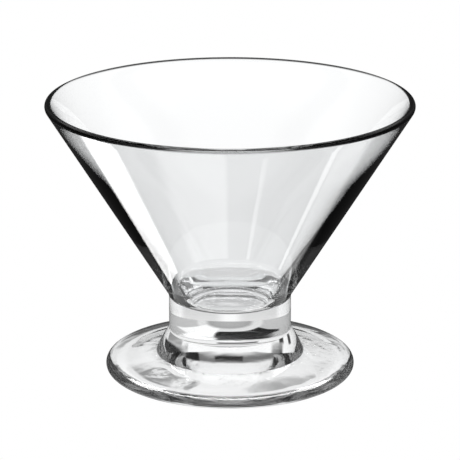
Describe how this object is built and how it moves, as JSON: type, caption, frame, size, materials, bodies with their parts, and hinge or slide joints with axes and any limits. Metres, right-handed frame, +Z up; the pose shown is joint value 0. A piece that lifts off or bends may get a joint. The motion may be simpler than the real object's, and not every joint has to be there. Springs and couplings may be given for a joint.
{
  "type": "ice cream cup",
  "caption": "Clear glass ice cream cup: wide conical bowl with a rounded rim on a short solid stem, with a sloping collar where it stands on a dished round foot.",
  "frame": {"origin": "middle of the surface that the foot stands on", "axes": "+Z up along the cup's axis of revolution, from the foot to the open rim; X and Y lie in the plane of the table"},
  "size_m": [0.116, 0.116, 0.0885],
  "materials": {
    "clear_glass": "clear, fire-polished"
  },
  "bodies": {
    "root": {"bowl": "clear_glass", "stem": "clear_glass", "foot": "clear_glass"}
  },
  "joints": []
}
